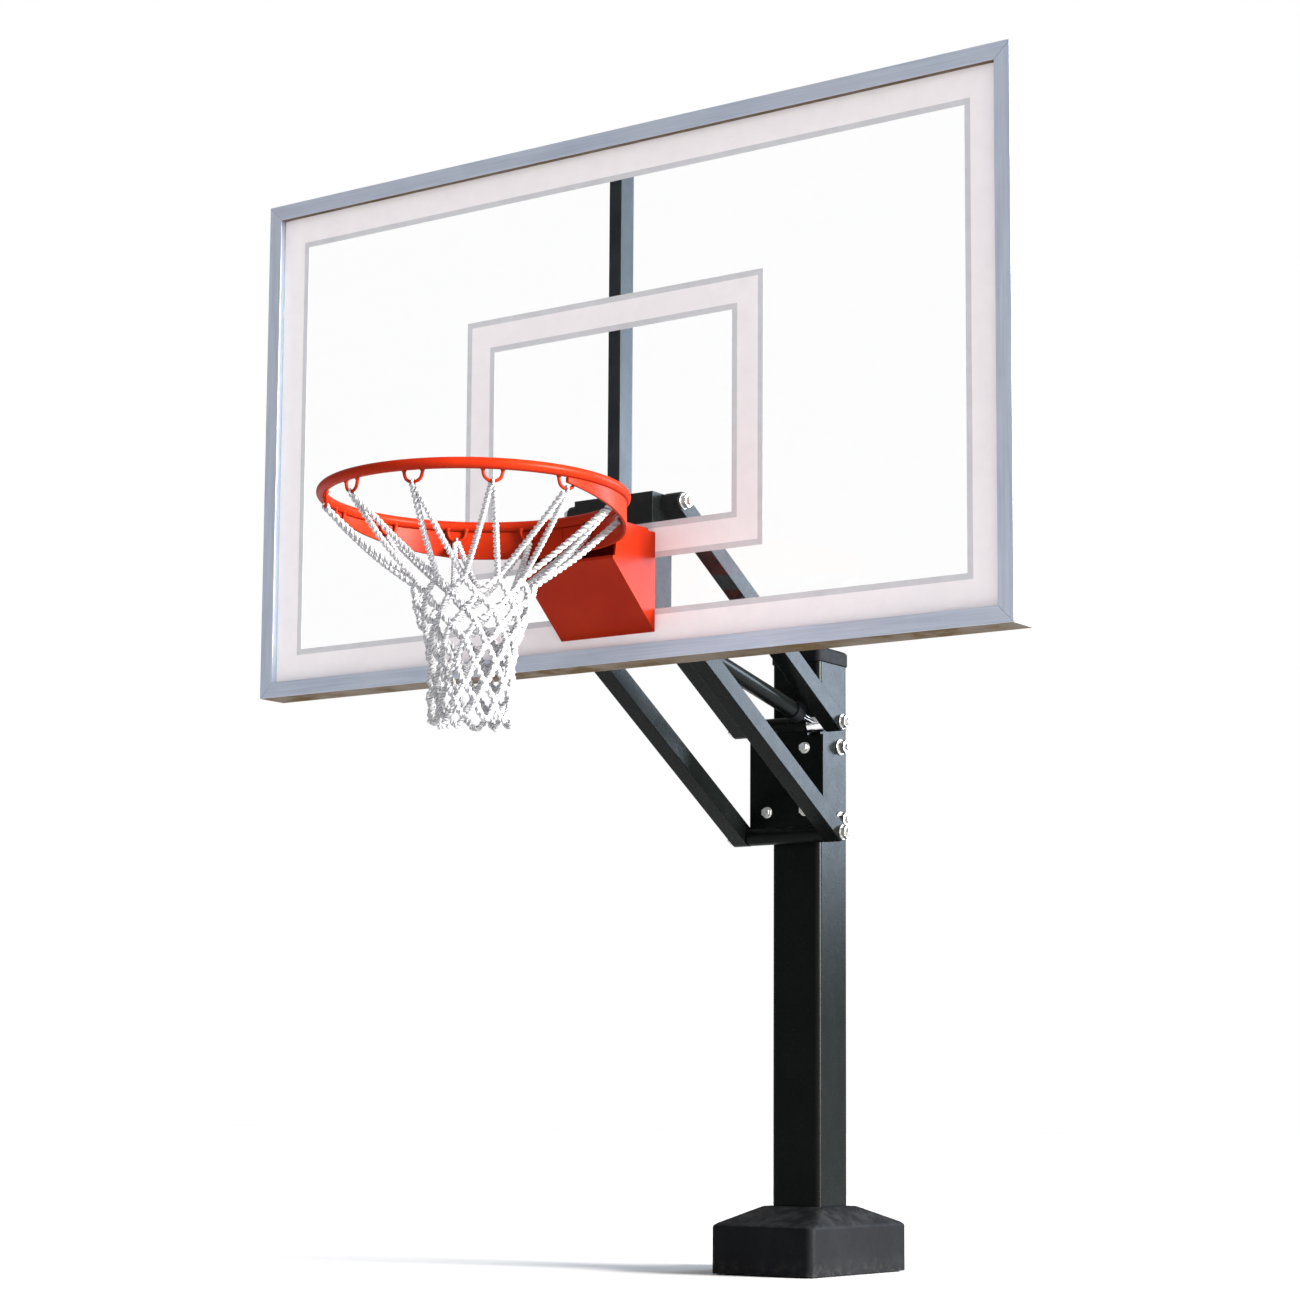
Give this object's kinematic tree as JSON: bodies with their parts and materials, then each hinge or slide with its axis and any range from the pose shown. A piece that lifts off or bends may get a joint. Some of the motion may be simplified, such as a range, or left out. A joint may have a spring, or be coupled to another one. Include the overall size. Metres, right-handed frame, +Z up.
{
  "type": "basketball hoop",
  "caption": "Adjustable basketball hoop: clear framed backboard on parallel arms from a short square post with a block base, with a breakaway rim and a white net.",
  "frame": {"origin": "underside of the base plate, on the post's axis", "axes": "+Z up, the backboard faces -Y, +X to the right of a player who faces the board"},
  "size_m": [1.524, 1.4242, 1.9385],
  "materials": {
    "black_powder_coat": "satin black powder coat, fine orange-peel texture",
    "black_moulding": "black moulded plastic, light grain",
    "zinc": "bright zinc plate",
    "polished_rod": "polished chromed rod",
    "frame_aluminium": "satin anodised extrusion",
    "clear_glass": "clear tempered glass with a white printed border and target box",
    "orange_coat": "orange-red powder coat",
    "net_cord": "white braided polyester net cord"
  },
  "bodies": {
    "root": {"base_plate": "black_powder_coat", "base_cover": "black_moulding", "anchor_bolt_1": "zinc", "anchor_bolt_2": "zinc", "anchor_bolt_3": "zinc", "anchor_bolt_4": "zinc", "post": "black_powder_coat", "post_cap": "black_moulding", "arm_bracket": "black_powder_coat", "post_saddle": "black_powder_coat", "plate_bolt_1": "zinc", "plate_bolt_2": "zinc", "plate_bolt_3": "zinc", "plate_bolt_4": "zinc", "cross_bolt_lower": "zinc", "cross_bolt_upper": "zinc", "rear_upper_bolt": "zinc", "rear_lower_bolt": "zinc"},
    "upper_arms": {"upper_arm_left": "black_powder_coat", "upper_arm_right": "black_powder_coat"},
    "lower_arms": {"lower_arm_left": "black_powder_coat", "lower_arm_right": "black_powder_coat"},
    "backboard": {"frame_left": "frame_aluminium", "frame_right": "frame_aluminium", "frame_top": "frame_aluminium", "frame_bottom": "frame_aluminium", "glass_panel": "clear_glass", "centre_support": "black_powder_coat", "arm_channel": "black_powder_coat", "upper_spacer": "black_powder_coat", "lower_spacer": "black_powder_coat", "front_upper_bolt": "zinc", "front_lower_bolt": "zinc", "rim_housing": "orange_coat", "rim_bolt_1": "zinc", "rim_bolt_2": "zinc", "rim_bolt_3": "zinc", "rim_bolt_4": "zinc", "rim_hinge_pin": "zinc", "rim_spring_left": "zinc", "rim_spring_right": "zinc"},
    "rim": {"rim_ring": "orange_coat", "rim_brace_left": "orange_coat", "rim_brace_right": "orange_coat", "rim_top_plate": "orange_coat", "net": "net_cord"},
    "strut_inner": {"strut_rod": "polished_rod"},
    "strut_outer": {"strut_tube": "black_powder_coat", "strut_collar": "black_moulding"}
  },
  "joints": [
    {"name": "height", "type": "hinge", "parent": "root", "child": "upper_arms", "pos_m": [0, -0.0761, 0.987], "axis": [-1, 0, 0], "range_deg": [-37, 6]},
    {"name": "lower_arm_swing", "type": "hinge", "parent": "root", "child": "lower_arms", "pos_m": [0, -0.0761, 0.787], "axis": [-1, 0, 0], "range_deg": [-37, 6]},
    {"name": "board_level", "type": "hinge", "parent": "upper_arms", "child": "backboard", "pos_m": [0, -0.59211, 1.29705], "axis": [-1, 0, 0], "range_deg": [-6, 37]},
    {"name": "strut_rear", "type": "hinge", "parent": "root", "child": "strut_inner", "pos_m": [0, -0.0761, 0.987], "axis": [-1, 0, 0], "range_deg": [-37, 6]},
    {"name": "strut_front", "type": "hinge", "parent": "backboard", "child": "strut_outer", "pos_m": [0, -0.59211, 1.09705], "axis": [-1, 0, 0], "range_deg": [-37, 6]},
    {"name": "rim_breakaway", "type": "hinge", "parent": "backboard", "child": "rim", "pos_m": [0, -0.74911, 1.22805], "axis": [1, 0, 0], "range_deg": [0, 16], "stiffness_Nm_per_rad": 600, "springref_deg": -20.05}
  ],
  "couplings": [
    {"joint": "lower_arm_swing", "follows": "height", "ratio": 1},
    {"joint": "board_level", "follows": "height", "ratio": -1},
    {"joint": "strut_rear", "follows": "height", "ratio": 0.982},
    {"joint": "strut_front", "follows": "height", "ratio": 0.982}
  ]
}
